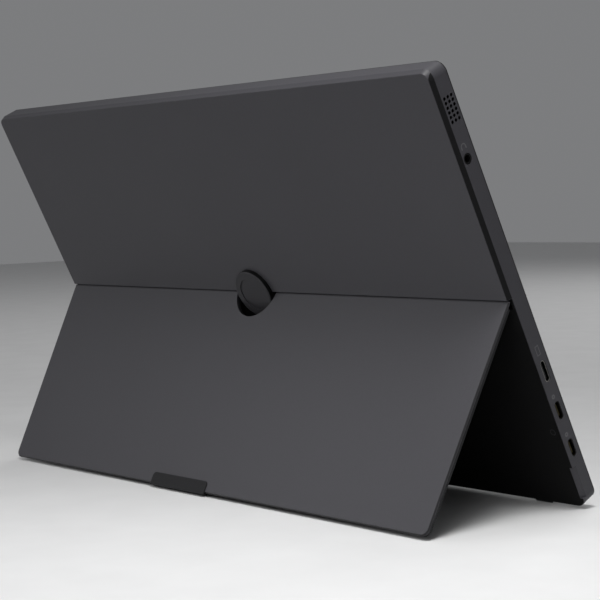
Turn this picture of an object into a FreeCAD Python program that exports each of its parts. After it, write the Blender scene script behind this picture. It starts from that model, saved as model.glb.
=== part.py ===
import FreeCAD, Part
import math
import os
import re
import Sketcher
from FreeCAD import Placement, Rotation, Vector

# Portable monitor on its open kickstand, in millimetres.
# Every piece is drawn on the display as if it lay flat and upright:
# x across, n from the screen side to the back, v up from the lower edge.
# The stand is drawn closed. Placements then open the stand and lean the display back.

os.makedirs("parts", exist_ok=True)
doc = FreeCAD.newDocument("portable_monitor")
sheet = doc.addObject("Spreadsheet::Sheet", "dims")

SIZES = [
    # display housing
    ("width", 359.7), ("height", 226.4), ("thickness", 11.8), ("corner_radius", 5.0),
    ("bevel_inset", 1.1), ("bevel_depth", 2.8), ("bevel_round", 0.5),
    ("bezel_thickness", 0.8), ("side_wall", 1.6), ("back_wall", 1.4), ("inner_wall", 1.2),
    ("bezel_round", 0.4),
    # picture area and the layers behind it
    ("side_border", 7.75), ("top_border", 8.2), ("bottom_border", 24.6),
    ("window_margin", 0.5), ("panel_margin", 2.0), ("panel_glass", 0.9), ("sheet_stack", 0.3),
    ("guide_thickness", 0.6), ("tray_thickness", 0.3), ("led_bar_height", 1.5),
    # kickstand and its hinge
    ("axis_below", 2.2), ("axis_depth", 2.4), ("stand_overhang", 1.0),
    ("stand_thickness", 2.7), ("stand_skin", 1.0), ("curl_wall", 0.8), ("swing_gap", 0.35),
    ("recess_gap", 0.1), ("stand_top_inset", 0.75), ("stand_foot_inset", 6.6),
    ("stand_corner", 4.0), ("stand_chamfer", 0.6), ("liner_inset", 0.3),
    ("trough_depth", 5.8), ("trough_below", 3.4), ("trough_wall", 1.0), ("trough_end", 2.0),
    ("notch_radius", 16.3), ("notch_side", 1.0), ("notch_drop", 0.5), ("curl_start", 17.5),
    ("curl_end", 2.4),
    ("hinge_inset", 74.85), ("bracket_length", 34.0), ("bracket_base", 0.8),
    ("knuckle_radius", 1.3), ("knuckle_length", 4.0), ("barrel_length", 15.0),
    ("washer_thickness", 0.35), ("pin_radius", 0.75), ("running_gap", 0.04),
    ("pin_head_radius", 1.2), ("pin_head_length", 0.8), ("arm_thickness", 1.2),
    ("leaf_thickness", 0.8), ("leaf_length", 16.0),
    # feet
    ("foot_middle", 10.1), ("foot_length", 45.2), ("foot_height", 5.2),
    ("foot_drop", 1.0), ("foot_rise", 0.8), ("foot_lap", 0.8), ("foot_round", 2.2),
    ("pad_inset", 27.35), ("pad_length", 11.0), ("pad_drop", 1.6), ("pad_near", 2.4),
    ("pad_far", 8.0), ("pad_sink", 0.7),
    # tripod socket and its cover
    ("boss_radius", 13.4), ("insert_radius", 5.0), ("insert_flange", 7.0),
    ("insert_flange_height", 1.0), ("insert_sink", 0.2), ("insert_floor", 0.6),
    ("thread_radius", 2.55), ("plate_gap", 0.3), ("plate_thickness", 0.8), ("cover_lift", 0.1),
    ("cover_rise", 3.0), ("cover_round", 0.8), ("cover_wall", 1.5), ("hollow_depth", 1.2),
    ("dish_radius", 9.2), ("dish_depth", 0.45), ("pivot_side", 9.0), ("pivot_rise", 5.2),
    ("pivot_radius", 1.2), ("pivot_boss", 2.4), ("pivot_depth", 3.2), ("pivot_reach", 1.9),
    # ports on the right-hand edge seen from behind
    ("hdmi_height", 72.7), ("hdmi_length", 11.0), ("hdmi_thick", 3.2),
    ("usb_upper_height", 51.5), ("usb_lower_height", 31.0), ("usb_length", 9.2),
    ("usb_thick", 3.2), ("port_gap", 0.15), ("port_shell", 0.3), ("port_body", 8.0),
    ("port_sink", 0.3), ("tongue_thickness", 0.7),
    ("jack_drop", 44.4), ("jack_rib", 0.75), ("jack_radius", 2.45), ("jack_bore", 1.75),
    ("jack_length", 14.0), ("jack_block", 5.5),
    # speaker grilles
    ("grille_drop", 15.3), ("grille_pitch", 2.2), ("grille_near", 2.6), ("grille_step", 2.35),
    ("grille_hole", 0.85), ("speaker_length", 27.6), ("speaker_width", 16.0),
    ("speaker_drop", 4.4), ("mesh_thickness", 0.3), ("panel_gap", 0.5),
    # boards
    ("post_height", 0.4), ("board_thickness", 0.9), ("board_edge", 2.85), ("board_length", 80.0),
    ("board_low", 14.0), ("board_clear", 10.4), ("board_stand", 2.2), ("screw_radius", 0.8),
    ("screw_head", 1.7), ("screw_head_height", 0.5), ("shield_wall", 0.3),
    ("strip_thickness", 0.7), ("cable_thickness", 0.15),
    # controls on the far edge
    ("power_drop", 48.4), ("power_length", 10.0), ("rocker_below", 24.0),
    ("rocker_length", 16.0), ("key_thickness", 3.2), ("key_depth", 5.5), ("key_rise", 0.4),
    ("key_gap", 0.25), ("key_flange", 0.6), ("key_lap", 0.8), ("press_gap", 0.45),
    ("axle_radius", 0.8), ("axle_inset", 2.8), ("ear_thickness", 1.2), ("switch_height", 1.6),
    ("small_board", 0.8),
    # finger scoop
    ("scoop_radius", 3.3), ("scoop_out", 1.2), ("scoop_up", 0.8), ("scoop_low", 4.6),
    ("scoop_high", 22.0),
    # resting angles
    ("stand_angle", 52.4),
]

for row, (alias, value) in enumerate(SIZES, start=1):
    sheet.set(f"A{row}", alias)
    sheet.set(f"B{row}", str(value))
    sheet.setAlias(f"B{row}", alias)
doc.recompute()
ALIASES = {alias for alias, value in SIZES}

# Levels that several pieces share, written once as formulas.
SIDE = "width / 2"
INNER = "(width / 2 - side_wall)"
AXIS_V = "(height / 2 - axis_below)"
AXIS_N = "(thickness - axis_depth)"
FLOOR = "(thickness - stand_thickness - recess_gap)"
CEILING = "(thickness - back_wall)"
STEP = f"({AXIS_V} + axis_depth + swing_gap)"
TROUGH = "(thickness - trough_depth)"
TROUGH_LOW = f"({AXIS_V} - trough_below)"
PICTURE = "(width / 2 - side_border)"
PICTURE_TOP = "(height - top_border)"
PANEL_BACK = "(bezel_thickness + panel_glass)"
GUIDE_FRONT = "(bezel_thickness + panel_glass + sheet_stack)"
TRAY_FRONT = "(bezel_thickness + panel_glass + sheet_stack + guide_thickness)"
TRAY_BACK = "(bezel_thickness + panel_glass + sheet_stack + guide_thickness + tray_thickness)"
INSIDE = f"({TRAY_BACK} + panel_gap)"
BOARD_BACK = f"({FLOOR} - back_wall - post_height)"
BOARD_FRONT = f"({BOARD_BACK} - board_thickness)"
BOARD_OUTER = "(width / 2 - board_edge)"
BOARD_INNER = "(width / 2 - board_edge - board_length)"
BOARD_HIGH = f"({TROUGH_LOW} - inner_wall - board_clear)"
LINER_BACK = "(thickness - stand_skin)"
LINER_FRONT = "(thickness - stand_thickness)"
STAND_END = "(-stand_overhang)"
STAND_LENGTH = f"({AXIS_V} + stand_overhang)"
FOOT_ENDS = ("(foot_middle - foot_length / 2)", "(foot_middle + foot_length / 2)")
HINGE = "(width / 2 - hinge_inset)"
PAD = "(width / 2 - pad_inset)"
SOCKET = f"({AXIS_V} + axis_depth)"
PIVOT = ("pivot_side", f"({SOCKET} + pivot_rise)")
PLATE_FRONT = f"({TRAY_BACK} + plate_gap)"
INSERT_BASE = f"({TRAY_BACK} + plate_gap + plate_thickness)"
INSERT_STEP = f"({INSERT_BASE} + insert_flange_height)"
INSERT_TOP = "(thickness - insert_sink)"
JACK_V = "(height - jack_drop)"
JACK_N = f"({CEILING} - jack_rib - small_board - jack_block / 2)"
GRILLE_TOP = "(height - grille_drop)"
KEY_FRONT = "(key_depth - key_thickness / 2)"
KEY_BACK = "(key_depth + key_thickness / 2)"
POWER_V = "(height - power_drop)"
ROCKER_V = "(height - power_drop - rocker_below)"
KEYS = (("power", POWER_V), ("rocker", ROCKER_V))
LEAF_FRONT = f"({LINER_FRONT} + 0.1)"
LEAF_BACK = f"({LINER_FRONT} + 0.1 + leaf_thickness)"
USB_LEVEL = f"({BOARD_FRONT} - usb_thick / 2)"
HDMI_LEVEL = f"({BOARD_FRONT} - hdmi_thick / 2)"
PORTS = [("mini_hdmi_port", HDMI_LEVEL, "hdmi_height", "hdmi_length", "hdmi_thick"),
         ("usb_c_port_upper", USB_LEVEL, "usb_upper_height", "usb_length", "usb_thick"),
         ("usb_c_port_lower", USB_LEVEL, "usb_lower_height", "usb_length", "usb_thick")]

# Screw places, as x and v.
BOARD_SCREWS = [(f"12 - {BOARD_OUTER}", f"{BOARD_HIGH} - 5"), (f"-5 - {BOARD_INNER}", f"{BOARD_HIGH} - 5"),
                (f"12 - {BOARD_OUTER}", "board_low + 4"), (f"-5 - {BOARD_INNER}", "board_low + 4")]
PLATE_SCREWS = [(f"{side} * (insert_flange + 2.5)", f"{SOCKET} {place} 4")
                for side in ("1", "-1") for place in "+-"]
LEAF_SCREWS = [(f"{side} * {HINGE} {place} 4.5", f"{AXIS_V} - leaf_length + 5")
               for side in ("1", "-1") for place in "-+"]
BRACKET_SCREW = "(bracket_length / 2 - 2)"
SIDES = (("left", "1"), ("right", "-1"))
nodes = []

# A round piece's own axis turned along x, n or v.
TURNS = {"x": Rotation(Vector(1, 1, 1), 120), "n": Rotation(Vector(1, 0, 0), -90), "v": Rotation()}


def formula(text):
    """Turn the plain names of sizes into references to the sheet."""
    return re.sub(r"[a-z_]+", lambda m: "dims." + m.group() if m.group() in ALIASES else m.group(), text)


def bind(feature, prop, text):
    feature.setExpression(prop, formula(text))


def value_of(text):
    """The present value of a formula, in millimetres."""
    return float(sheet.evalExpression(formula(text)))


def body_of(label):
    body = doc.addObject("PartDesign::Body", label)
    body.Label = label
    nodes.append(body)
    return body


def group_of(label, solids):
    """Several alike solids kept as one piece."""
    group = doc.addObject("Part::Compound", label)
    group.Label = label
    group.Links = solids
    nodes.append(group)
    return group


def primitive(home, name, shape, cut):
    """A block or cylinder in a body, or standing alone in a list."""
    if isinstance(home, list):
        piece = doc.addObject(f"Part::{shape}", name)
        home.append(piece)
        return piece
    piece = home.newObject(f"PartDesign::{'Subtractive' if cut else 'Additive'}{shape}", name)
    piece.Refine = False
    return piece


def box(home, name, x, n, v, cut=False):
    """A block between two levels on each axis."""
    block = primitive(home, name, "Box", cut)
    for side, (low, high) in zip(("Length", "Width", "Height"), (x, n, v)):
        bind(block, side, f"({high}) - ({low})")
    for axis, (low, high) in zip("xyz", (x, n, v)):
        bind(block, f"Placement.Base.{axis}", low)
    return block


def rod(home, name, along, centre, radius, span, cut=False, sweep=None):
    """A cylinder along x, n or v; centre is its place on the other two axes, in that order."""
    piece = primitive(home, name, "Cylinder", cut)
    piece.Placement = Placement(Vector(), TURNS[along])
    bind(piece, "Radius", radius)
    bind(piece, "Height", f"({span[1]}) - ({span[0]})")
    if sweep is not None:
        piece.Angle = sweep
    start = dict(zip([axis for axis in "xnv" if axis != along], centre))
    start[along] = span[0]
    for axis, place in zip("xyz", "xnv"):
        bind(piece, f"Placement.Base.{axis}", start[place])
    return piece


def slot(home, name, x, centre_n, centre_v, length, thick, cut=False):
    """A bar along x with round ends up and down, as a port's opening has."""
    half = f"({thick}) / 2"
    reach = f"(({length}) - ({thick})) / 2"
    box(home, name + "_web", x, (f"{centre_n} - {half}", f"{centre_n} + {half}"),
        (f"{centre_v} - {reach}", f"{centre_v} + {reach}"), cut)
    for end, sign in (("low", "-"), ("high", "+")):
        rod(home, f"{name}_{end}", "x", (centre_n, f"{centre_v} {sign} {reach}"), half, x, cut)


def plane_sketch(body, name, level):
    """A sketch facing the back, lying at a level between screen and back."""
    sketch = body.newObject("Sketcher::SketchObject", name)
    plane = next(item for item in body.Origin.OriginFeatures if item.Role == "XZ_Plane")
    sketch.AttachmentSupport = [(plane, "")]
    sketch.MapMode = "FlatFace"
    bind(sketch, "AttachmentOffset.Base.z", f"-({level})")
    return sketch


def rounded_outline(body, name, level, half_width, low, high, radius):
    """A closed outline, even about the middle, with four round corners."""
    sketch = plane_sketch(body, name, level)
    wide, bottom, top, r = (value_of(text) for text in (half_width, low, high, radius))
    corners = [(wide - r, bottom + r, -90), (wide - r, top - r, 0),
               (r - wide, top - r, 90), (r - wide, bottom + r, 180)]
    for x, v, start in corners:
        circle = Part.Circle(Vector(x, v, 0), Vector(0, 0, 1), r)
        sketch.addGeometry(Part.ArcOfCircle(circle, math.radians(start), math.radians(start + 90)))
    ends = [(wide, bottom + r, wide, top - r), (wide - r, top, r - wide, top),
            (-wide, top - r, -wide, bottom + r), (r - wide, bottom, wide - r, bottom)]
    for x1, v1, x2, v2 in ends:
        sketch.addGeometry(Part.LineSegment(Vector(x1, v1, 0), Vector(x2, v2, 0)))
    for index in range(4):
        sketch.addConstraint(Sketcher.Constraint("Tangent", index, 2, 4 + index, 1))
        sketch.addConstraint(Sketcher.Constraint("Tangent", 4 + index, 2, (index + 1) % 4, 1))
    for index in (1, 2, 3):
        sketch.addConstraint(Sketcher.Constraint("Equal", 0, index))
    sketch.addConstraint(Sketcher.Constraint("Vertical", 4))
    sketch.addConstraint(Sketcher.Constraint("Horizontal", 5))
    numbers = [("radius", Sketcher.Constraint("Radius", 0, r), radius),
               ("right", Sketcher.Constraint("DistanceX", -1, 1, 4, 1, wide), half_width),
               ("left", Sketcher.Constraint("DistanceX", 6, 1, -1, 1, wide), half_width),
               ("top", Sketcher.Constraint("DistanceY", -1, 1, 5, 1, top), high)]
    rise = ("rise", Sketcher.Constraint("DistanceY", 7, 1, 5, 2, top - bottom), f"({high}) - ({low})")
    for label, constraint, text in numbers + [rise]:
        place = sketch.addConstraint(constraint)
        sketch.renameConstraint(place, label)
        bind(sketch, f"Constraints.{label}", text)
    return sketch


def polygon_sketch(body, name, level, points):
    """A closed outline with straight sides through points given as formulas."""
    sketch = plane_sketch(body, name, level)
    spots = [Vector(value_of(x), value_of(v), 0) for x, v in points]
    for index, spot in enumerate(spots):
        sketch.addGeometry(Part.LineSegment(spot, spots[(index + 1) % len(spots)]))
    for index in range(len(spots)):
        sketch.addConstraint(Sketcher.Constraint("Coincident", index, 2, (index + 1) % len(spots), 1))
    for index, (x, v) in enumerate(points):
        for kind, text, here in (("DistanceX", x, spots[index].x), ("DistanceY", v, spots[index].y)):
            place = sketch.addConstraint(Sketcher.Constraint(kind, -1, 1, index, 1, here))
            label = f"{kind}_{index}"
            sketch.renameConstraint(place, label)
            bind(sketch, f"Constraints.{label}", text)
    return sketch


def pad(body, name, sketch, depth, taper=None):
    """Raise an outline towards the back."""
    feature = body.newObject("PartDesign::Pad", name)
    feature.Profile = sketch
    feature.Reversed = True
    bind(feature, "Length", depth)
    if taper is not None:
        bind(feature, "TaperAngle", taper)
    return feature


def pocket(body, name, sketch, depth):
    """Sink an outline into the body, from the screen side towards the back."""
    feature = body.newObject("PartDesign::Pocket", name)
    feature.Profile = sketch
    bind(feature, "Length", depth)
    return feature


def round_edges(body, name, chosen, radius, chamfer=False):
    """Round or bevel the edges of the body so far that pass a test."""
    doc.recompute()
    base = body.Tip
    edges = [f"Edge{index}" for index, edge in enumerate(base.Shape.Edges, start=1) if chosen(edge)]
    feature = body.newObject("PartDesign::Chamfer" if chamfer else "PartDesign::Fillet", name)
    feature.Base = (base, edges)
    bind(feature, "Size" if chamfer else "Radius", radius)
    return feature


def runs_along(edge, axis):
    """True for a straight edge along x, n or v."""
    if edge.Curve.TypeId != "Part::GeomLine":
        return False
    return abs(abs(edge.Curve.Direction["xnv".index(axis)]) - 1) < 1e-6


def at_level(edge, axis, text):
    """True for an edge that stays at one level of x, n or v."""
    bounds = edge.BoundBox
    low = (bounds.XMin, bounds.YMin, bounds.ZMin)["xnv".index(axis)]
    high = (bounds.XMax, bounds.YMax, bounds.ZMax)["xnv".index(axis)]
    level = value_of(text)
    return abs(low - level) < 1e-4 and abs(high - level) < 1e-4


def make_rear_cover():
    """The moulded back, hollow inside, with the stand's recess and the hinge trough."""
    shell = doc.addObject("PartDesign::Body", "cover_shell")
    straight = rounded_outline(shell, "cover_outline", "bezel_thickness", SIDE, "0", "height",
                               "corner_radius")
    pad(shell, "cover_block", straight, "thickness - bezel_thickness - bevel_depth")
    tapered = rounded_outline(shell, "cover_bevel_outline", "thickness - bevel_depth", SIDE, "0",
                              "height", "corner_radius")
    pad(shell, "cover_bevel", tapered, "bevel_depth", "-atan(bevel_inset / bevel_depth)")
    round_edges(shell, "cover_bevel_edges", lambda edge: at_level(edge, "n", "thickness")
                or at_level(edge, "n", "thickness - bevel_depth"), "bevel_round")
    upper = rounded_outline(shell, "upper_hollow_outline", "bezel_thickness", INNER,
                            f"{STEP} + inner_wall", "height - side_wall", "corner_radius - side_wall")
    pocket(shell, "upper_hollow", upper, f"{CEILING} - bezel_thickness")
    lower = rounded_outline(shell, "lower_hollow_outline", "bezel_thickness", INNER, "side_wall",
                            f"{TROUGH_LOW} - inner_wall", "corner_radius - side_wall")
    pocket(shell, "lower_hollow", lower, f"{FLOOR} - back_wall - bezel_thickness")
    box(shell, "middle_hollow", (f"-{INNER}", INNER), ("bezel_thickness - 1", f"{TROUGH} - trough_wall"),
        (f"{TROUGH_LOW} - inner_wall - 1", f"{STEP} + inner_wall + 1"), cut=True)
    box(shell, "stand_recess", (f"-{SIDE} - 1", f"{SIDE} + 1"), (FLOOR, "thickness + 1"),
        ("-1", STEP), cut=True)
    for side, span in (("left", ("curl_start - swing_gap", f"{SIDE} - trough_end")),
                       ("right", (f"trough_end - {SIDE}", "swing_gap - curl_start"))):
        box(shell, f"trough_{side}", span, (TROUGH, f"{FLOOR} + 1"), (TROUGH_LOW, STEP), cut=True)
    rod(shell, "socket_boss", "n", ("0", SOCKET), "boss_radius", (INSERT_STEP, "thickness"))
    add_inner_posts(shell)
    tools = []
    rod(tools, "socket_hole", "n", ("0", SOCKET), "insert_radius", (INSERT_BASE, "thickness + 1"))
    rod(tools, "pivot_hole", "n", PIVOT, "pivot_radius + 0.02", ("thickness - pivot_depth", "thickness + 1"))
    add_side_openings(tools)
    add_screw_holes(tools)
    cutters = doc.addObject("Part::MultiFuse", "cover_cutters")
    cutters.Shapes = tools
    cover = doc.addObject("Part::Cut", "rear_cover")
    cover.Label = "rear_cover"
    cover.Base = shell
    cover.Tool = cutters
    cover.Refine = True
    nodes.append(cover)


def add_inner_posts(body):
    """Posts for the main board, ribs for the jack and ears for the rocker."""
    for index, place in enumerate(BOARD_SCREWS):
        rod(body, f"board_post_{index}", "n", place, "board_stand",
            (BOARD_BACK, f"{FLOOR} - back_wall + 0.2"))
    for index, offset in enumerate(("+ 3.2", "- 3.2")):
        box(body, f"jack_rib_{index}", (f"1 - {SIDE}", f"10 - {SIDE}"),
            (f"{JACK_N} + jack_block / 2 + small_board", f"{CEILING} + 0.2"),
            (f"{JACK_V} {offset} - 0.6", f"{JACK_V} {offset} + 0.6"))
    ears = (("near", f"{KEY_FRONT} - key_gap - ear_thickness", f"{KEY_FRONT} - key_gap"),
            ("far", f"{KEY_BACK} + key_gap", f"{KEY_BACK} + key_gap + ear_thickness"))
    for name, low, high in ears:
        box(body, f"rocker_ear_{name}", (f"{SIDE} - axle_inset - 1.4", f"{INNER} + 0.2"), (low, high),
            (f"{ROCKER_V} - 1.6", f"{ROCKER_V} + 1.6"))


def add_side_openings(tools):
    """Ports, grilles, key openings, pad seats and finger scoops through the edges."""
    near = (f"-{SIDE} - 1", f"0.5 - {INNER}")
    far = (f"{INNER} - 0.5", f"{SIDE} + 1")
    for name, level, height, length, thick in PORTS:
        slot(tools, f"{name}_opening", near, level, height, f"{length} + 2 * port_gap",
             f"{thick} + 2 * port_gap")
    rod(tools, "jack_opening", "x", (JACK_N, JACK_V), "jack_radius + port_gap", near)
    for column in range(3):
        for line in range(6):
            place = (f"grille_near + {column} * grille_step", f"{GRILLE_TOP} - {line} * grille_pitch")
            for side, span in (("near", near), ("far", far)):
                rod(tools, f"grille_{side}_{column}_{line}", "x", place, "grille_hole", span)
    for name, height in KEYS:
        half = f"({name}_length / 2 + key_gap)"
        box(tools, f"{name}_opening", far, (f"{KEY_FRONT} - key_gap", f"{KEY_BACK} + key_gap"),
            (f"{height} - {half}", f"{height} + {half}"))
    for side, sign in SIDES:
        box(tools, f"pad_seat_{side}",
            (f"{sign} * {PAD} - pad_length / 2", f"{sign} * {PAD} + pad_length / 2"),
            ("pad_near", "pad_far"), ("-1", "pad_sink"))
        rod(tools, f"scoop_{side}", "v", (f"{sign} * ({SIDE} + scoop_out)", f"{FLOOR} + scoop_up"),
            "scoop_radius", ("scoop_low", "scoop_high"))


def add_screw_holes(tools):
    """Blind holes for the screws, and the bore the rocker's axle turns in."""
    for index, place in enumerate(BOARD_SCREWS):
        rod(tools, f"board_hole_{index}", "n", place, "screw_radius + 0.05",
            (f"{BOARD_BACK} - 1", f"{FLOOR} - back_wall + 0.8"))
    for index, place in enumerate(PLATE_SCREWS):
        rod(tools, f"plate_hole_{index}", "n", place, "screw_radius + 0.05",
            (INSERT_BASE, f"{INSERT_STEP} + 3"))
    for side, sign in SIDES:
        for end, shift in (("inner", "-"), ("outer", "+")):
            place = (f"{sign} * {HINGE} {shift} {BRACKET_SCREW}", AXIS_V)
            rod(tools, f"bracket_hole_{side}_{end}", "n", place, "screw_radius + 0.05",
                (f"{TROUGH} - trough_wall - 1", f"{TROUGH} + 1"))
    rod(tools, "rocker_ear_bore", "n", (f"{SIDE} - axle_inset", ROCKER_V), "axle_radius + running_gap",
        (f"{KEY_FRONT} - key_gap - ear_thickness - 0.5", f"{KEY_BACK} + key_gap + ear_thickness + 0.5"))


def make_front():
    """Front bezel and the picture's layers, from the viewer backwards."""
    bezel = body_of("front_bezel")
    outline = rounded_outline(bezel, "bezel_outline", "0", SIDE, "0", "height", "corner_radius")
    pad(bezel, "bezel_sheet", outline, "bezel_thickness")
    round_edges(bezel, "bezel_front_edge", lambda edge: at_level(edge, "n", "0"), "bezel_round")
    box(bezel, "window", (f"-{PICTURE} - window_margin", f"{PICTURE} + window_margin"),
        ("-1", "bezel_thickness + 1"),
        ("bottom_border - window_margin", f"{PICTURE_TOP} + window_margin"), cut=True)
    half = f"({PICTURE} + panel_margin)"
    low = "(bottom_border - panel_margin)"
    high = f"({PICTURE_TOP} + panel_margin)"
    layers = [("lcd_panel", "bezel_thickness", PANEL_BACK), ("optical_sheets", PANEL_BACK, GUIDE_FRONT),
              ("light_guide", GUIDE_FRONT, TRAY_FRONT), ("panel_tray", TRAY_FRONT, TRAY_BACK)]
    for label, front, back in layers:
        layer = body_of(label)
        drop = "led_bar_height" if label in ("lcd_panel", "panel_tray") else "0"
        box(layer, f"{label}_sheet", (f"-{half}", half), (front, back), (f"{low} - {drop}", high))
    bar = body_of("led_bar")
    box(bar, "led_strip", (f"-{half}", half), (GUIDE_FRONT, TRAY_FRONT), (f"{low} - led_bar_height", low))
    strip = body_of("panel_board")
    box(strip, "panel_board_sheet", (f"4 - {BOARD_INNER}", f"{BOARD_INNER} - 4"),
        (TRAY_BACK, f"{TRAY_BACK} + strip_thickness"), (f"{low} + 1", f"{low} + 9"))
    make_cable(low)


def make_cable(low):
    """Flat cable that steps from the strip behind the picture up to the main board."""
    body = body_of("panel_cable")
    lower = (f"{TRAY_BACK} + strip_thickness", f"{TRAY_BACK} + strip_thickness + cable_thickness")
    span = (f"{low} + 2", f"{low} + 8")
    box(body, "cable_low", (f"2 - {BOARD_INNER}", f"14 - {BOARD_INNER}"), lower, span)
    box(body, "cable_riser", (f"2 - cable_thickness - {BOARD_INNER}", f"2 - {BOARD_INNER}"),
        (lower[0], BOARD_FRONT), span)
    box(body, "cable_high", (f"-10 - {BOARD_INNER}", f"2 - {BOARD_INNER}"),
        (f"{BOARD_FRONT} - cable_thickness", BOARD_FRONT), span)


def make_main_board():
    board = body_of("main_board")
    box(board, "board_sheet", (f"-{BOARD_OUTER}", f"-{BOARD_INNER}"), (BOARD_FRONT, BOARD_BACK),
        ("board_low", BOARD_HIGH))
    for index, place in enumerate(BOARD_SCREWS):
        rod(board, f"board_screw_way_{index}", "n", place, "screw_radius + 0.1",
            (f"{BOARD_FRONT} - 1", f"{BOARD_BACK} + 1"), cut=True)
    x = (f"18 - {BOARD_OUTER}", f"-22 - {BOARD_INNER}")
    v = ("board_low + 22", f"{BOARD_HIGH} - 12")
    shield = body_of("board_shield")
    box(shield, "shield_can", x, (INSIDE, BOARD_FRONT), v)
    box(shield, "shield_hollow", (f"{x[0]} + shield_wall", f"{x[1]} - shield_wall"),
        (f"{INSIDE} + shield_wall", f"{BOARD_FRONT} + 1"),
        (f"{v[0]} + shield_wall", f"{v[1]} - shield_wall"), cut=True)
    chip = body_of("scaler_chip")
    middle_x = f"(({x[0]} + {x[1]}) / 2)"
    middle_v = f"(({v[0]} + {v[1]}) / 2)"
    box(chip, "chip_block", (f"{middle_x} - 6", f"{middle_x} + 6"), (f"{BOARD_FRONT} - 1.1", BOARD_FRONT),
        (f"{middle_v} - 6", f"{middle_v} + 6"))
    make_screws("board_screws", BOARD_SCREWS, BOARD_FRONT, f"{FLOOR} - back_wall + 0.7", True)


def make_screws(label, places, seat, tip, head_in_front):
    """Alike screws along n; the head lies in front of its seat or behind it."""
    screws = []
    head_span = (seat, f"{seat} + screw_head_height")
    shank_span = (tip, seat)
    if head_in_front:
        head_span = (f"{seat} - screw_head_height", seat)
        shank_span = (seat, tip)
    for index, place in enumerate(places):
        pieces = []
        rod(pieces, f"{label}_head_{index}", "n", place, "screw_head", head_span)
        rod(pieces, f"{label}_shank_{index}", "n", place, "screw_radius", shank_span)
        screw = doc.addObject("Part::Fuse", f"{label}_{index}")
        screw.Base = pieces[0]
        screw.Tool = pieces[1]
        screws.append(screw)
    group_of(label, screws)


def make_ports():
    mouth = f"(port_sink - {SIDE})"
    inner_end = f"(port_body - {SIDE})"
    for label, level, height, length, thick in PORTS:
        body = body_of(label)
        slot(body, f"{label}_shell", (mouth, inner_end), level, height, length, thick)
        slot(body, f"{label}_mouth", (f"{mouth} - 1", f"{inner_end} - 1"), level, height,
             f"{length} - 2 * port_shell", f"{thick} - 2 * port_shell", cut=True)
        tongue = f"(({length} - {thick}) / 2)"
        box(body, f"{label}_tongue", (f"{mouth} + 0.8", f"{inner_end} - 0.5"),
            (f"{level} - tongue_thickness / 2", f"{level} + tongue_thickness / 2"),
            (f"{height} - {tongue}", f"{height} + {tongue}"))
    jack = body_of("headphone_jack")
    half = "jack_block / 2"
    box(jack, "jack_housing", (f"0.1 - {INNER}", f"jack_length - {SIDE}"),
        (f"{JACK_N} - {half}", f"{JACK_N} + {half}"), (f"{JACK_V} - {half}", f"{JACK_V} + {half}"))
    rod(jack, "jack_nose", "x", (JACK_N, JACK_V), "jack_radius", (f"port_sink / 2 - {SIDE}", f"1 - {INNER}"))
    rod(jack, "jack_bore_hole", "x", (JACK_N, JACK_V), "jack_bore",
        (f"-{SIDE} - 1", f"jack_length - 1.5 - {SIDE}"), cut=True)
    board = body_of("audio_board")
    box(board, "audio_board_sheet", (f"2 - {SIDE}", f"jack_length + 4 - {SIDE}"),
        (f"{JACK_N} + {half}", f"{JACK_N} + {half} + small_board"), (f"{JACK_V} - 6", f"{JACK_V} + 6"))


def make_speakers():
    far = f"({INNER} - mesh_thickness)"
    near = f"({far} - speaker_width)"
    for side, sign in SIDES:
        left = side == "left"
        speaker = body_of(f"speaker_{side}")
        box(speaker, f"speaker_box_{side}", (near, far) if left else (f"-{far}", f"-{near}"),
            (INSIDE, CEILING), ("height - speaker_drop - speaker_length", "height - speaker_drop"))
        mouth = (f"{far} - 0.8", f"{far} + 1") if left else (f"-{far} - 1", f"0.8 - {far}")
        box(speaker, f"speaker_mouth_{side}", mouth,
            (f"{INSIDE} + 0.7", f"{CEILING} - 0.8"), (f"{GRILLE_TOP} - 14", f"{GRILLE_TOP} + 2.5"), cut=True)
        mesh = body_of(f"speaker_mesh_{side}")
        box(mesh, f"mesh_sheet_{side}", (far, INNER) if left else (f"-{INNER}", f"-{far}"),
            ("grille_near - 1.2", f"{CEILING} - 1.5"), (f"{GRILLE_TOP} - 15", f"{GRILLE_TOP} + 3.5"))


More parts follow.
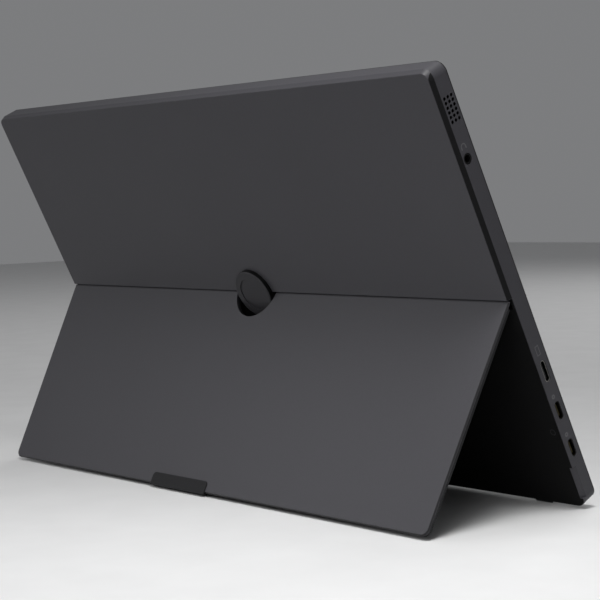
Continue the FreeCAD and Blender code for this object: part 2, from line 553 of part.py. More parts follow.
def make_socket():
    """Threaded tripod socket, the plate that holds it, and the round cover that swivels on a pin."""
    middle = ("0", SOCKET)
    insert = body_of("tripod_insert")
    rod(insert, "insert_body", "n", middle, "insert_radius - 0.02", (INSERT_BASE, INSERT_TOP))
    rod(insert, "insert_ring", "n", middle, "insert_flange", (INSERT_BASE, INSERT_STEP))
    rod(insert, "insert_thread", "n", middle, "thread_radius",
        (f"{INSERT_BASE} + insert_floor", "thickness + 1"), cut=True)
    plate = body_of("tripod_plate")
    reach = "(insert_flange + 8)"
    box(plate, "plate_sheet", (f"-{reach}", reach), (PLATE_FRONT, INSERT_BASE),
        (f"{SOCKET} - insert_flange - 2", f"{SOCKET} + insert_flange + 2"))
    rod(plate, "plate_ring", "n", middle, "insert_flange + 1.4", (INSERT_BASE, INSERT_STEP))
    for index, place in enumerate(PLATE_SCREWS):
        rod(plate, f"plate_post_{index}", "n", place, "screw_head", (f"{INSERT_BASE} - 0.1", INSERT_STEP))
    rod(plate, "plate_ring_inside", "n", middle, "insert_flange + 0.02", (INSERT_BASE, f"{INSERT_STEP} + 1"),
        cut=True)
    seat = f"({PLATE_FRONT} + screw_head_height)"
    for index, place in enumerate(PLATE_SCREWS):
        rod(plate, f"plate_screw_way_{index}", "n", place, "screw_radius + 0.1",
            (f"{PLATE_FRONT} - 1", f"{INSERT_STEP} + 1"), cut=True)
        rod(plate, f"plate_screw_seat_{index}", "n", place, "screw_head + 0.1", (f"{PLATE_FRONT} - 1", seat),
            cut=True)
    make_screws("plate_screws", PLATE_SCREWS, seat, f"{INSERT_STEP} + 2.8", True)
    cover = body_of("socket_cover")
    top = "(thickness + cover_rise)"
    rod(cover, "cover_disc", "n", middle, "boss_radius", ("thickness + cover_lift", top))
    round_edges(cover, "cover_rim", lambda edge: at_level(edge, "n", top), "cover_round")
    rod(cover, "cover_dish", "n", middle, "dish_radius", (f"{top} - dish_depth", f"{top} + 1"), cut=True)
    rod(cover, "cover_hollow", "n", middle, "boss_radius - cover_wall",
        ("thickness - 1", "thickness + hollow_depth"), cut=True)
    rod(cover, "cover_pivot_boss", "n", PIVOT, "pivot_boss", ("thickness", "thickness + hollow_depth + 0.1"))
    rod(cover, "cover_pivot_bore", "n", PIVOT, "pivot_radius + running_gap",
        ("thickness - 1", "thickness + pivot_reach + 0.1"), cut=True)
    pin = body_of("cover_pivot")
    rod(pin, "cover_pivot_pin", "n", PIVOT, "pivot_radius",
        ("thickness - pivot_depth", "thickness + pivot_reach"))


def make_hinges():
    """Two friction hinges hidden in the trough: bracket, pin, washers and leaf each."""
    barrel = "(barrel_length / 2)"
    shoulder = "(barrel_length / 2 + washer_thickness)"
    outer = "(barrel_length / 2 + washer_thickness + knuckle_length)"
    top = f"({TROUGH} + bracket_base)"
    spot = (AXIS_N, AXIS_V)
    for side, sign in SIDES:
        middle = f"{sign} * {HINGE}"
        bracket = body_of(f"hinge_bracket_{side}")
        box(bracket, f"base_{side}", (f"{middle} - bracket_length / 2", f"{middle} + bracket_length / 2"),
            (TROUGH, top), (f"{TROUGH_LOW} + 0.2", f"{STEP} - 0.2"))
        for end, low, high in (("inner", f"{middle} - {outer}", f"{middle} - {shoulder}"),
                               ("outer", f"{middle} + {shoulder}", f"{middle} + {outer}")):
            rod(bracket, f"knuckle_{side}_{end}", "x", spot, "knuckle_radius", (low, high))
            box(bracket, f"arm_{side}_{end}", (low, high), (f"{top} - 0.1", AXIS_N),
                (f"{AXIS_V} - arm_thickness - 0.1", f"{AXIS_V} - 0.1"))
        rod(bracket, f"bracket_bore_{side}", "x", spot, "pin_radius + 0.02",
            (f"{middle} - {outer} - 1", f"{middle} + {outer} + 1"), cut=True)
        places = [(f"{middle} {shift} {BRACKET_SCREW}", AXIS_V) for shift in "-+"]
        for index, place in enumerate(places):
            rod(bracket, f"bracket_way_{side}_{index}", "n", place, "screw_radius + 0.1",
                (f"{TROUGH} - 1", f"{top} + 1"), cut=True)
            rod(bracket, f"bracket_seat_{side}_{index}", "n", place, "screw_head + 0.1",
                (f"{top} - screw_head_height", f"{top} + 1"), cut=True)
        make_screws(f"bracket_screws_{side}", places, f"({top} - screw_head_height)",
                    f"{TROUGH} - trough_wall + 0.1", False)
        pin = body_of(f"hinge_pin_{side}")
        rod(pin, f"pin_{side}", "x", spot, "pin_radius", (f"{middle} - {outer}", f"{middle} + {outer}"))
        rod(pin, f"pin_head_{side}", "x", spot, "pin_head_radius",
            (f"{middle} - {outer} - pin_head_length", f"{middle} - {outer}"))
        rod(pin, f"pin_rivet_{side}", "x", spot, "pin_head_radius",
            (f"{middle} + {outer}", f"{middle} + {outer} + pin_head_length"))
        make_washers(side, middle, barrel, shoulder)
        make_leaf(side, middle, barrel)


def make_washers(side, middle, barrel, shoulder):
    """Two friction washers on the pin, one at each end of the leaf's barrel."""
    rings = []
    for end, span in (("inner", (f"{middle} - {shoulder}", f"{middle} - {barrel}")),
                      ("outer", (f"{middle} + {barrel}", f"{middle} + {shoulder}"))):
        pieces = []
        rod(pieces, f"washer_disc_{side}_{end}", "x", (AXIS_N, AXIS_V), "knuckle_radius", span)
        rod(pieces, f"washer_hole_{side}_{end}", "x", (AXIS_N, AXIS_V), "pin_radius + 0.02", span)
        ring = doc.addObject("Part::Cut", f"washer_{side}_{end}")
        ring.Base = pieces[0]
        ring.Tool = pieces[1]
        rings.append(ring)
    group_of(f"hinge_washers_{side}", rings)


def make_leaf(side, middle, barrel):
    """The stand's half of a hinge: a barrel on the pin and a flat leaf screwed under the stand."""
    leaf = body_of(f"hinge_leaf_{side}")
    span = (f"{middle} - {barrel} + 0.05", f"{middle} + {barrel} - 0.05")
    rod(leaf, f"barrel_{side}", "x", (AXIS_N, AXIS_V), "knuckle_radius", span)
    box(leaf, f"leaf_{side}", span, (LEAF_FRONT, LEAF_BACK), (f"{AXIS_V} - leaf_length", AXIS_V))
    rod(leaf, f"leaf_bore_{side}", "x", (AXIS_N, AXIS_V), "pin_radius + running_gap",
        (f"{middle} - {barrel} - 1", f"{middle} + {barrel} + 1"), cut=True)
    chosen = LEAF_SCREWS[:2] if side == "left" else LEAF_SCREWS[2:]
    for index, place in enumerate(chosen):
        rod(leaf, f"leaf_way_{side}_{index}", "n", place, "screw_radius + 0.1",
            (f"{LEAF_FRONT} - 1", f"{LEAF_BACK} + 1"), cut=True)
        rod(leaf, f"leaf_seat_{side}_{index}", "n", place, "screw_head + 0.1",
            (f"{LEAF_FRONT} - 1", f"{LEAF_FRONT} + screw_head_height"), cut=True)


def stand_outline(body, name, level, inset, top):
    """The stand's tapered plate, seen from behind."""
    slope = f"((stand_foot_inset - stand_top_inset) / {STAND_LENGTH})"
    upper = f"({SIDE} - stand_top_inset - {slope} * ({AXIS_V} - {top}) - {inset})"
    lower = f"({SIDE} - stand_foot_inset - {inset})"
    low = f"({STAND_END} + {inset})"
    corners = [(f"-{lower}", low), (lower, low), (upper, top), (f"-{upper}", top)]
    return polygon_sketch(body, name, level, corners)


def is_stand_corner(edge):
    """True for the plate's two lower corners."""
    if not runs_along(edge, "n"):
        return False
    spot = edge.Vertexes[0].Point
    return spot.z < value_of(f"{STAND_END} + 1") and abs(spot.x) > value_of(f"{SIDE} - stand_foot_inset - 2")


def make_stand():
    """Metal skin curled round the hinge line, moulded liner behind it, and the rubber foot."""
    skin = body_of("kickstand_panel")
    pad(skin, "skin_plate", stand_outline(skin, "skin_outline", LINER_BACK, "0", AXIS_V), "stand_skin")
    round_edges(skin, "skin_corners", is_stand_corner, "stand_corner")
    round_edges(skin, "skin_chamfer", lambda edge: at_level(edge, "n", "thickness")
                and not at_level(edge, "v", AXIS_V), "stand_chamfer", chamfer=True)
    for side, span in (("left", ("curl_start", f"{SIDE} - curl_end")),
                       ("right", (f"curl_end - {SIDE}", "-curl_start"))):
        rod(skin, f"curl_{side}", "x", (AXIS_N, AXIS_V), "axis_depth", span, sweep=90)
    rod(skin, "curl_inside", "x", (AXIS_N, AXIS_V), "axis_depth - curl_wall", (f"-{SIDE}", SIDE), cut=True)
    liner = body_of("kickstand_liner")
    outline = stand_outline(liner, "liner_outline", LINER_FRONT, "liner_inset", f"({TROUGH_LOW} + 0.4)")
    pad(liner, "liner_plate", outline, "stand_thickness - stand_skin")
    round_edges(liner, "liner_corners", is_stand_corner, "stand_corner - liner_inset")
    for side, sign in SIDES:
        half = "(barrel_length / 2 + 0.2)"
        box(liner, f"leaf_pocket_{side}", (f"{sign} * {HINGE} - {half}", f"{sign} * {HINGE} + {half}"),
            (f"{LINER_FRONT} - 1", LEAF_BACK), (f"{AXIS_V} - leaf_length - 0.2", AXIS_V), cut=True)
    for index, place in enumerate(LEAF_SCREWS):
        rod(liner, f"leaf_hole_{index}", "n", place, "screw_radius + 0.05", (LEAF_FRONT, LINER_BACK),
            cut=True)
    for body in (skin, liner):
        rod(body, f"{body.Label}_notch", "n", ("notch_side", f"{SOCKET} - notch_drop"), "notch_radius",
            ("0", "thickness + 1"), cut=True)
        box(body, f"{body.Label}_foot_seat", FOOT_ENDS, ("0", "thickness + 1"),
            (f"{STAND_END} - 1", f"{STAND_END} + foot_height"), cut=True)
    make_screws("leaf_screws", LEAF_SCREWS, f"({LEAF_FRONT} + screw_head_height)",
                f"{LINER_BACK} - 0.05", True)
    foot = body_of("kickstand_foot")
    box(foot, "foot_pad", (f"{FOOT_ENDS[0]} - foot_lap", f"{FOOT_ENDS[1]} + foot_lap"),
        ("thickness", "thickness + foot_rise"),
        (f"{STAND_END} - foot_drop", f"{STAND_END} + foot_height + foot_lap"))
    round_edges(foot, "foot_pad_corners", lambda edge: runs_along(edge, "n")
                and edge.Vertexes[0].Point.z > value_of(STAND_END), "foot_round")
    round_edges(foot, "foot_pad_rim", lambda edge: at_level(edge, "n", "thickness + foot_rise"),
                "foot_rise / 2")
    box(foot, "foot_core", FOOT_ENDS, (LINER_FRONT, "thickness + 0.1"),
        (f"{STAND_END} - foot_drop", f"{STAND_END} + foot_height"))


def make_pads():
    for side, sign in SIDES:
        body = body_of(f"bottom_pad_{side}")
        box(body, f"pad_block_{side}",
            (f"{sign} * {PAD} - pad_length / 2", f"{sign} * {PAD} + pad_length / 2"),
            ("pad_near", "pad_far"), ("-pad_drop", "pad_sink"))
        round_edges(body, f"pad_round_{side}", lambda edge: runs_along(edge, "n")
                    and edge.Vertexes[0].Point.z < 0, "pad_drop / 2")


def make_controls():
    """Power key and menu rocker on the edge hidden in the picture, with their board."""
    rocker_back = f"({SIDE} - axle_inset - axle_radius - 0.4)"
    board_face = f"({rocker_back} - press_gap - switch_height)"
    power_back = f"({INNER} - key_gap / 2 - key_flange)"
    face = f"({SIDE} + key_rise)"
    caps = {}
    for (name, height), label, back in zip(KEYS, ("power_button", "menu_rocker"), (power_back, rocker_back)):
        caps[name] = body_of(label)
        box(caps[name], f"{name}_cap", (back, face), (KEY_FRONT, KEY_BACK),
            (f"{height} - {name}_length / 2", f"{height} + {name}_length / 2"))
        round_edges(caps[name], f"{name}_cap_edges", lambda edge: at_level(edge, "x", face), "key_rise")
    half = "(power_length / 2 + key_lap)"
    box(caps["power"], "power_flange", (power_back, f"{INNER} - key_gap / 2"),
        (f"{KEY_FRONT} - key_lap", f"{KEY_BACK} + key_lap"), (f"{POWER_V} - {half}", f"{POWER_V} + {half}"))
    rod(caps["rocker"], "rocker_axle", "n", (f"{SIDE} - axle_inset", ROCKER_V), "axle_radius",
        (f"{KEY_FRONT} - key_gap - ear_thickness", f"{KEY_BACK} + key_gap + ear_thickness"))
    board = body_of("key_board")
    box(board, "key_board_sheet", (f"{board_face} - small_board", board_face), (INSIDE, CEILING),
        (f"{ROCKER_V} - rocker_length / 2 - 6", f"{POWER_V} + 4"))
    reach = "(rocker_length / 2 - 2)"
    places = [("power", POWER_V, f"{power_back} - press_gap"),
              ("menu_up", f"{ROCKER_V} + {reach}", f"{board_face} + switch_height"),
              ("menu_down", f"{ROCKER_V} - {reach}", f"{board_face} + switch_height")]
    switches = []
    for name, height, top in places:
        box(switches, f"switch_{name}", (board_face, top), ("key_depth - 1.5", "key_depth + 1.5"),
            (f"{height} - 1.5", f"{height} + 1.5"))
    group_of("key_switches", switches)


make_rear_cover()
make_front()
make_main_board()
make_ports()
make_speakers()
make_socket()
make_hinges()
make_stand()
make_pads()
make_controls()
doc.recompute()

STAND_NODES = {"kickstand_panel", "kickstand_liner", "kickstand_foot", "hinge_leaf_left", "hinge_leaf_right",
               "leaf_screws"}
for node in nodes:
    if node.TypeId == "PartDesign::Body":
        node.Tip.Refine = True

# The display rests on its pads and the stand's foot, which sets how far it leans back.
opening = math.radians(value_of("stand_angle"))
axis_n = value_of(AXIS_N)
axis_v = value_of(AXIS_V)
reach = value_of(f"{STAND_LENGTH} + foot_drop")
inward = value_of(LINER_FRONT) - axis_n
foot_n = axis_n + reach * math.sin(opening) + inward * math.cos(opening)
foot_v = axis_v - reach * math.cos(opening) + inward * math.sin(opening)
lean = math.degrees(math.atan2(foot_v + value_of("pad_drop"), foot_n - value_of("pad_far")))

tilt = Placement(Vector(), Rotation(Vector(1, 0, 0), -lean))
pivot = Vector(0, axis_n, axis_v)
swing = Placement(Vector(), Rotation(Vector(1, 0, 0), value_of("stand_angle")), pivot)
for node in nodes:
    node.Placement = tilt.multiply(swing) if node.Label in STAND_NODES else tilt
doc.recompute()

# The frame's origin is the middle of the ground under the whole object.
whole = FreeCAD.BoundBox()
for node in nodes:
    whole.add(node.Shape.optimalBoundingBox(False, False))
shift = Vector(-whole.Center.x, -whole.Center.y, -whole.ZMin)
for node in nodes:
    node.Placement = Placement(shift, Rotation()).multiply(node.Placement)
doc.recompute()

for item in doc.Objects:
    if "Invalid" in item.State or "Error" in item.State:
        raise RuntimeError(f"{item.Label} did not build: {item.State}")
for node in nodes:
    if node.Shape.isNull() or not node.Shape.isValid():
        raise RuntimeError(f"{node.Label} is not a sound solid")
    node.Shape.exportStep(f"parts/{node.Label}.step")

frame = Placement(shift, Rotation()).multiply(tilt)
print("nodes", len(nodes), "lean", round(lean, 4), "shift", shift)
print("stand axis", frame.multVec(pivot))
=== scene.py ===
import math

import bmesh
import bpy
from mathutils import Matrix, Vector

# Portable monitor seen from behind, leaning on its open kickstand.
# Panel coordinates are those of the upright display, and of the stand when it is closed:
# x across, n from the screen side to the back, v up from the lower edge.
# Masks in the materials are given in panel coordinates in millimetres, all other lengths in metres.

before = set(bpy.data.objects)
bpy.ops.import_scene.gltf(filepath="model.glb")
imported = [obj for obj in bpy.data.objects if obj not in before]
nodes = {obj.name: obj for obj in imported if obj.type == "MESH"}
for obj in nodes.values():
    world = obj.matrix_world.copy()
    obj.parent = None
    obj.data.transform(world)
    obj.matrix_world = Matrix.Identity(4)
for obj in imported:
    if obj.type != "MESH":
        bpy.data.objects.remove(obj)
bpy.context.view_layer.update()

MM = 0.001
LEAN = math.radians(25.5681)
OPEN = math.radians(52.4)
SHIFT = Vector((-0.2, -55.12101, 4.89598)) * MM
AXIS = Vector((0.0, 9.4, 111.0)) * MM

TILT = Matrix.Translation(SHIFT) @ Matrix.Rotation(-LEAN, 4, "X")
SWING = Matrix.Translation(AXIS) @ Matrix.Rotation(OPEN, 4, "X") @ Matrix.Translation(-AXIS)
STAND = TILT @ SWING

# The camera, solved from the photograph's straight edges in panel coordinates.
CAMERA_PLACE = Vector((-666.96, 477.04, 391.44)) * MM
CAMERA_RIGHT = Vector((-0.65082, -0.67138, -0.35451))
CAMERA_AHEAD = Vector((0.75867, -0.55711, -0.33772))
FOCAL_PIXELS = 1606.19
IMAGE_PIXELS = 600.0
SENSOR_WIDTH = 36.0
CLIP_NEAR = 0.01
CLIP_FAR = 50.0


def add_camera():
    lens = bpy.data.cameras.new("camera")
    lens.sensor_fit = "HORIZONTAL"
    lens.sensor_width = SENSOR_WIDTH
    lens.lens = FOCAL_PIXELS / IMAGE_PIXELS * SENSOR_WIDTH
    lens.clip_start = CLIP_NEAR
    lens.clip_end = CLIP_FAR
    camera = bpy.data.objects.new("camera", lens)
    bpy.context.scene.collection.objects.link(camera)
    turn = TILT.to_3x3()
    ahead = (turn @ CAMERA_AHEAD).normalized()
    right = turn @ CAMERA_RIGHT
    right = (right - ahead * right.dot(ahead)).normalized()
    up = right.cross(ahead)
    basis = Matrix((right, up, -ahead)).transposed()
    camera.matrix_world = Matrix.Translation(TILT @ CAMERA_PLACE) @ basis.to_4x4()
    bpy.context.scene.camera = camera


# Most noise lies between these values, so ramps and ranges run from one to the other.
NOISE_ENDS = (0.3, 0.7)
FINE_ENDS = (0.35, 0.65)


def scaled(colour, factor):
    return tuple(channel * factor for channel in colour)


class Shader:
    """A Principled material and short ways to add nodes to it."""

    def __init__(self, name, roughness=0.5, metallic=0.0, **sockets):
        self.material = bpy.data.materials.new(name)
        self.material.use_nodes = True
        self.tree = self.material.node_tree
        self.main = self.tree.nodes["Principled BSDF"]
        self.main.inputs["Roughness"].default_value = roughness
        self.main.inputs["Metallic"].default_value = metallic
        for socket, value in sockets.items():
            self.main.inputs[socket.replace("_", " ")].default_value = value

    def node(self, kind, **settings):
        made = self.tree.nodes.new(kind)
        for key, value in settings.items():
            setattr(made, key, value)
        return made

    def put(self, value, socket):
        """Link an output to the socket, or set a number or a colour on it."""
        if hasattr(value, "is_output"):
            self.tree.links.new(value, socket)
        elif isinstance(value, tuple):
            socket.default_value = (*value, 1.0)
        else:
            socket.default_value = value

    def coords(self, matrix=None):
        """Object coordinates, or panel coordinates where the matrix of the display or the stand is given."""
        place = self.node("ShaderNodeTexCoord").outputs["Object"]
        if matrix is None:
            return place
        mapping = self.node("ShaderNodeMapping", vector_type="TEXTURE")
        mapping.inputs["Location"].default_value = matrix.to_translation()
        mapping.inputs["Rotation"].default_value = matrix.to_euler()
        self.put(place, mapping.inputs["Vector"])
        return mapping.outputs["Vector"]

    def parts(self, coords):
        made = self.node("ShaderNodeSeparateXYZ")
        self.put(coords, made.inputs["Vector"])
        return made.outputs["X"], made.outputs["Y"], made.outputs["Z"]

    def noise(self, coords, scale, detail=2.0, roughness=0.5):
        made = self.node("ShaderNodeTexNoise")
        made.inputs["Scale"].default_value = scale
        made.inputs["Detail"].default_value = detail
        made.inputs["Roughness"].default_value = roughness
        self.put(coords, made.inputs["Vector"])
        return made.outputs["Fac"]

    def ramp(self, value, first, second, ends=NOISE_ENDS):
        """A colour that goes from first to second as value goes from one end to the other."""
        made = self.node("ShaderNodeValToRGB")
        for element, place, colour in zip(made.color_ramp.elements, ends, (first, second)):
            element.position = place
            element.color = (*colour, 1.0)
        self.put(value, made.inputs["Fac"])
        return made.outputs["Color"]

    def vary(self, value, colour, dark, light, ends=NOISE_ENDS):
        """A colour between two multiples of itself."""
        return self.ramp(value, scaled(colour, dark), scaled(colour, light), ends)

    def spread(self, value, ends, results=(0.0, 1.0)):
        """A number that goes from one result to the other as value goes from one end to the other."""
        made = self.node("ShaderNodeMapRange")
        for socket, number in zip(("From Min", "From Max", "To Min", "To Max"), (*ends, *results)):
            made.inputs[socket].default_value = number
        self.put(value, made.inputs["Value"])
        return made.outputs["Result"]

    def math(self, operation, first, second=0.0):
        made = self.node("ShaderNodeMath", operation=operation)
        self.put(first, made.inputs[0])
        self.put(second, made.inputs[1])
        return made.outputs["Value"]

    def mix(self, factor, first, second):
        made = self.node("ShaderNodeMix", data_type="RGBA")
        for socket, value in zip((made.inputs[0], made.inputs[6], made.inputs[7]), (factor, first, second)):
            self.put(value, socket)
        return made.outputs[2]

    def above(self, value, limit):
        return self.math("GREATER_THAN", value, limit * MM)

    def below(self, value, limit):
        return self.math("LESS_THAN", value, limit * MM)

    def fade(self, value, start, end):
        """0 at the start, rising to 1 at the end."""
        return self.spread(value, (start * MM, end * MM))

    def near(self, value, centre, reach):
        """1 where value lies within reach of the centre."""
        return self.below(self.math("ABSOLUTE", self.math("SUBTRACT", value, centre * MM)), reach)

    def ring(self, first, second, centre, radius, width):
        """1 on a thin ring round the centre."""
        across = self.math("SUBTRACT", first, centre[0] * MM)
        along = self.math("SUBTRACT", second, centre[1] * MM)
        squares = self.math("ADD", self.math("MULTIPLY", across, across), self.math("MULTIPLY", along, along))
        return self.near(self.math("SQRT", squares), radius, width)

    def rectangle(self, first, second, centre, reach):
        """1 inside a rectangle with the given half lengths."""
        return self.both(self.near(first, centre[0], reach[0]), self.near(second, centre[1], reach[1]))

    def both(self, *masks):
        result = masks[0]
        for mask in masks[1:]:
            result = self.math("MULTIPLY", result, mask)
        return result

    def either(self, *masks):
        result = masks[0]
        for mask in masks[1:]:
            result = self.math("MAXIMUM", result, mask)
        return result

    def bump(self, height, strength, distance):
        made = self.node("ShaderNodeBump")
        made.inputs["Strength"].default_value = strength
        made.inputs["Distance"].default_value = distance
        self.put(height, made.inputs["Height"])
        self.put(made.outputs["Normal"], self.main.inputs["Normal"])

    def colour(self, value):
        self.put(value, self.main.inputs["Base Color"])

    def roughness(self, value):
        self.put(value, self.main.inputs["Roughness"])


DARK_GREY = (0.0465, 0.0455, 0.0512)
MARK_GREY = (0.105, 0.105, 0.11)
# Near-black painted shade for the inside of the openings on the edge.
HOLE_SHADE = (0.0008, 0.0008, 0.0008)
# Near-black painted shade for the socket cover's side wall.
COVER_WALL_SHADE = (0.0012, 0.0012, 0.0013)
# Near-black painted shade deep inside the ports.
PORT_SHADE = (0.006, 0.006, 0.006)

SATIN_ROUGH = 0.46
MATT_ROUGH = 0.92
SATIN_SPECULAR = 0.22
HOUSING_GRAIN = 2600.0
MOULDED_GRAIN = 1500.0


def satin(name, colour, matrix, grain=HOUSING_GRAIN, rough=SATIN_ROUGH):
    """Finely textured satin coating, as on moulded or painted housings."""
    made = Shader(name, rough, Specular_IOR_Level=SATIN_SPECULAR)
    place = made.coords(matrix)
    fine = made.noise(place, grain, 3.0, 0.6)
    broad = made.noise(place, 14.0, 3.0)
    base = made.vary(broad, colour, 0.95, 1.05)
    speck = made.vary(fine, colour, 0.86, 1.12, FINE_ENDS)
    made.roughness(made.spread(broad, NOISE_ENDS, (rough - 0.03, rough + 0.03)))
    made.bump(fine, 0.25, 0.02 * MM)
    return made, made.mix(0.5, base, speck), place


# Places on the housing, in panel coordinates.
HALF_WIDTH = 179.85
USB_MARKS = ((5.4, 59.2), (5.4, 38.6))
SCREEN_MARK = (5.0, 83.8)
BAND_CENTRE = (6.1, 187.8)
BAND_FOOT = 187.6
CUP_CENTRES = ((4.7, 187.3), (7.5, 187.3))
FLOOR_MARK = (-175.4, 41.5)
RECESS_TOP = 113.7
RECESS_FLOOR = 8.9
TROUGH_FOOT = 107.0
TROUGH_FLOOR = 5.0
BEVEL_FRONT = 9.1
BEVEL_FOOT = 113.8
HOLES_BACK = 8.8
HOLES_MIDDLE = 120.0
HOLES_REACH = 95.0


def edge_marks(made, x, n, v):
    """Small plain marks printed beside the openings on one edge."""
    edge = made.below(x, 0.3 - HALF_WIDTH)
    rounds = [made.ring(n, v, centre, 0.75, 0.4) for centre in USB_MARKS]
    outer = made.rectangle(n, v, SCREEN_MARK, (1.25, 2.5))
    inner = made.rectangle(n, v, SCREEN_MARK, (0.85, 2.1))
    screen = made.math("SUBTRACT", outer, inner)
    band = made.both(made.ring(n, v, BAND_CENTRE, 1.4, 0.25), made.above(v, BAND_FOOT))
    cups = [made.rectangle(n, v, centre, (0.35, 0.7)) for centre in CUP_CENTRES]
    return made.both(edge, made.either(*rounds, screen, band, *cups))


def housing_material():
    """Dark grey satin, with painted shade on the bevel at the sides, and painted shade and a matt finish where
    the stand folds away.
    """
    made, shade, place = satin("housing_satin", DARK_GREY, TILT)
    x, n, v = made.parts(place)
    side = made.math("ABSOLUTE", x)
    trough = made.both(made.above(n, TROUGH_FLOOR), made.above(v, TROUGH_FOOT))
    floor = made.either(made.above(n, RECESS_FLOOR), trough)
    recess = made.both(made.below(v, RECESS_TOP), floor, made.below(side, HALF_WIDTH - 0.4))
    bevel = made.both(made.above(side, HALF_WIDTH - 1.05), made.above(n, BEVEL_FRONT), made.above(v, BEVEL_FOOT))
    holes = made.both(made.fade(side, HALF_WIDTH - 0.05, HALF_WIDTH - 0.45), made.below(n, HOLES_BACK),
                      made.near(v, HOLES_MIDDLE, HOLES_REACH))
    floor_mark = made.both(recess, made.ring(x, v, FLOOR_MARK, 1.4, 0.25))
    # Painted shade: the side bevel is darkened to a tenth of the housing grey.
    shade = made.mix(bevel, shade, scaled(DARK_GREY, 0.10))
    # Painted shade: the recess and trough where the stand folds away are darkened nearly to black.
    shade = made.mix(recess, shade, scaled(DARK_GREY, 0.03))
    # Painted shade: the walls of the openings on the edge fade to near black further in.
    shade = made.mix(holes, shade, HOLE_SHADE)
    shade = made.mix(edge_marks(made, x, n, v), shade, MARK_GREY)
    made.colour(made.mix(floor_mark, shade, scaled(MARK_GREY, 0.2)))
    made.roughness(made.spread(made.either(recess, bevel), (0.0, 1.0), (SATIN_ROUGH, MATT_ROUGH)))
    return made.material


RIM_MIDDLE = 11.4
RIM_REACH = 0.34
RIM_TOP = 110.6


def stand_material():
    """Satin like the housing's, with painted shade along the chamfered rim."""
    made, grey, place = satin("stand_satin", DARK_GREY, STAND)
    n, v = made.parts(place)[1:]
    rim = made.both(made.near(n, RIM_MIDDLE, RIM_REACH), made.below(v, RIM_TOP))
    # Painted shade: the rim band is darkened to a quarter of the satin grey.
    made.colour(made.mix(rim, grey, scaled(DARK_GREY, 0.25)))
    return made.material


COVER_WALL_TOP = 14.25
COVER_WALL_FOOT = 14.05


def cover_material():
    """Satin face with painted shade, near black, on the side wall below its rim."""
    made, grey, place = satin("cover_satin", scaled(DARK_GREY, 0.55), TILT)
    n = made.parts(place)[1]
    wall = made.fade(n, COVER_WALL_TOP, COVER_WALL_FOOT)
    # Painted shade: the side wall below the rim is near black.
    made.colour(made.mix(wall, grey, COVER_WALL_SHADE))
    return made.material


def moulded(name, colour, rough, matrix=None):
    made, grey, _ = satin(name, colour, matrix, MOULDED_GRAIN, rough)
    made.colour(grey)
    return made.material


def rubber(name, colour, matrix=None):
    made = Shader(name, Specular_IOR_Level=0.25)
    fine = made.noise(made.coords(matrix), 1800.0, 4.0, 0.7)
    made.colour(made.vary(fine, colour, 0.8, 1.15))
    made.roughness(made.spread(fine, NOISE_ENDS, (0.62, 0.8)))
    made.bump(fine, 0.4, 0.04 * MM)
    return made.material


LINE_STRETCH = (1.0, 60.0, 60.0)


def metal(name, colour, rough):
    """Plated or drawn metal with fine lines across the display."""
    made = Shader(name, metallic=1.0)
    mapping = made.node("ShaderNodeMapping")
    mapping.inputs["Scale"].default_value = LINE_STRETCH
    made.put(made.coords(), mapping.inputs["Vector"])
    lines = made.noise(mapping.outputs["Vector"], 120.0, 3.0)
    made.colour(made.vary(lines, colour, 0.85, 1.1))
    made.roughness(made.spread(lines, NOISE_ENDS, (rough - 0.06, rough + 0.08)))
    made.bump(lines, 0.1, 0.01 * MM)
    return made.material


LIP_ENDS = (-179.5, -179.3)
THROAT_ENDS = (-178.6, -176.5)


def port_material(name, rim, throat):
    """Shell with a plated rim at the mouth, a tinted throat and painted shade further in."""
    made = Shader(name, metallic=1.0)
    place = made.coords(TILT)
    x = made.parts(place)[0]
    fine = made.noise(place, 900.0, 3.0)
    shell = made.vary(fine, rim, 0.85, 1.1)
    mouth = made.mix(made.fade(x, *LIP_ENDS), shell, throat)
    # Painted shade: near black deeper into the port.
    made.colour(made.mix(made.fade(x, *THROAT_ENDS), mouth, PORT_SHADE))
    made.roughness(made.spread(fine, NOISE_ENDS, (0.26, 0.38)))
    return made.material


def screen_material():
    """Anti-glare panel, dark when off, with a faint blue cast and a fine grain."""
    made = Shader("screen_off", 0.34, Coat_Weight=0.25, Coat_Roughness=0.28)
    fine = made.noise(made.coords(TILT), 3000.0, 2.0)
    made.colour(made.ramp(fine, (0.0065, 0.0070, 0.0085), (0.0105, 0.0110, 0.0130)))
    made.bump(fine, 0.08, 0.01 * MM)
    return made.material


def give(material, *names):
    for name in names:
        mesh = nodes[name].data
        mesh.materials.clear()
        mesh.materials.append(material)


def pair(*names):
    """The left and right pieces of each name."""
    return [f"{name}_{side}" for name in names for side in ("left", "right")]


def dress_outside():
    give(housing_material(), "rear_cover")
    give(stand_material(), "kickstand_panel")
    give(moulded("liner_black", (0.010, 0.010, 0.011), 0.5, STAND), "kickstand_liner")
    give(moulded("bezel_black", (0.010, 0.010, 0.0105), 0.42, TILT), "front_bezel")
    give(screen_material(), "lcd_panel")
    give(cover_material(), "socket_cover")
    give(rubber("foot_rubber", (0.010, 0.010, 0.0112), STAND), "kickstand_foot")
    give(rubber("pad_rubber", (0.020, 0.020, 0.021), TILT), *pair("bottom_pad"))
    give(port_material("hdmi_shell", (0.50, 0.49, 0.46), (0.05, 0.05, 0.05)), "mini_hdmi_port")
    give(port_material("usb_shell", (0.035, 0.034, 0.032), (0.060, 0.050, 0.022)),
         "usb_c_port_upper", "usb_c_port_lower")
    give(moulded("jack_black", (0.003, 0.003, 0.0032), 0.4, TILT), "headphone_jack")
    give(moulded("key_satin", scaled(DARK_GREY, 0.8), 0.42, TILT), "power_button", "menu_rocker")


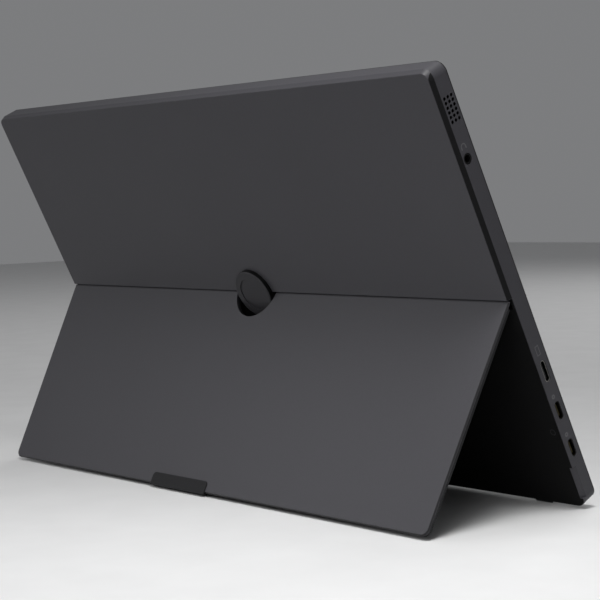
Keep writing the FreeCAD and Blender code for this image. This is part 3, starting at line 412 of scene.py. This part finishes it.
def dress_inside():
    give(moulded("speaker_black", (0.012, 0.012, 0.012), 0.6), *pair("speaker"), "scaler_chip", "key_switches")
    give(rubber("mesh_black", (0.0015, 0.0015, 0.0015)), *pair("speaker_mesh"))
    give(metal("hinge_steel", (0.22, 0.22, 0.23), 0.34),
         *pair("hinge_bracket", "hinge_pin", "hinge_washers", "hinge_leaf", "bracket_screws"),
         "leaf_screws", "board_screws", "plate_screws", "cover_pivot")
    give(metal("insert_brass", (0.55, 0.40, 0.17), 0.28), "tripod_insert")
    give(metal("sheet_aluminium", (0.60, 0.60, 0.62), 0.38), "panel_tray", "board_shield", "tripod_plate")
    give(moulded("board_green", (0.012, 0.075, 0.035), 0.4),
         "main_board", "audio_board", "key_board", "panel_board", "led_bar")
    give(moulded("film_clear", (0.72, 0.72, 0.74), 0.2), "optical_sheets", "light_guide")
    give(moulded("cable_amber", (0.35, 0.20, 0.05), 0.3), "panel_cable")


FLOOR_REACH = 3.0
FLOOR_LEVEL = -0.0002
FLOOR_SHADES = ((0.63, 0.63, 0.63), (0.66, 0.66, 0.66))


def add_floor():
    mesh = bpy.data.meshes.new("floor")
    plan = bmesh.new()
    bmesh.ops.create_grid(plan, x_segments=8, y_segments=8, size=FLOOR_REACH)
    plan.to_mesh(mesh)
    plan.free()
    floor = bpy.data.objects.new("floor", mesh)
    floor.location.z = FLOOR_LEVEL
    bpy.context.scene.collection.objects.link(floor)
    made = Shader("floor_pale", 0.7)
    made.colour(made.ramp(made.noise(made.coords(), 30.0, 3.0), *FLOOR_SHADES))
    mesh.materials.append(made.material)


SKY_COLOUR = (0.80, 0.81, 0.83, 1.0)
SKY_STRENGTH = 0.25
MIDDLE = (0.0, 0.0, 0.1)
WIDE = 180.0

# Name, place, target, side of the square lamp, power in watts and spread in degrees.
LAMPS = (
    ("key", (-0.9, 1.5, 1.2), MIDDLE, 1.2, 12.0, WIDE),
    ("side", (-0.30, 0.22, 0.75), (-0.15, 0.12, 0.0), 0.25, 0.88, 70.0),
    ("top", (0.0, -0.3, 1.6), MIDDLE, 0.8, 1.6, WIDE),
    ("fill", (0.9, 1.2, 0.9), MIDDLE, 1.0, 6.0, WIDE),
    ("front", (0.4, -1.6, 1.3), MIDDLE, 1.2, 10.0, WIDE),
)


def add_lamp(name, place, target, side, power, spread):
    lamp = bpy.data.lights.new(name, "AREA")
    lamp.shape = "RECTANGLE"
    lamp.size = side
    lamp.size_y = side
    lamp.energy = power
    lamp.spread = math.radians(spread)
    made = bpy.data.objects.new(name, lamp)
    made.location = place
    aim = Vector(target) - Vector(place)
    made.rotation_euler = aim.to_track_quat("-Z", "Y").to_euler()
    bpy.context.scene.collection.objects.link(made)


def add_light():
    world = bpy.data.worlds.new("studio")
    world.use_nodes = True
    sky = world.node_tree.nodes["Background"]
    sky.inputs["Color"].default_value = SKY_COLOUR
    sky.inputs["Strength"].default_value = SKY_STRENGTH
    bpy.context.scene.world = world
    for lamp in LAMPS:
        add_lamp(*lamp)


add_camera()
dress_outside()
dress_inside()
add_floor()
add_light()
bpy.context.scene.view_settings.view_transform = "Standard"
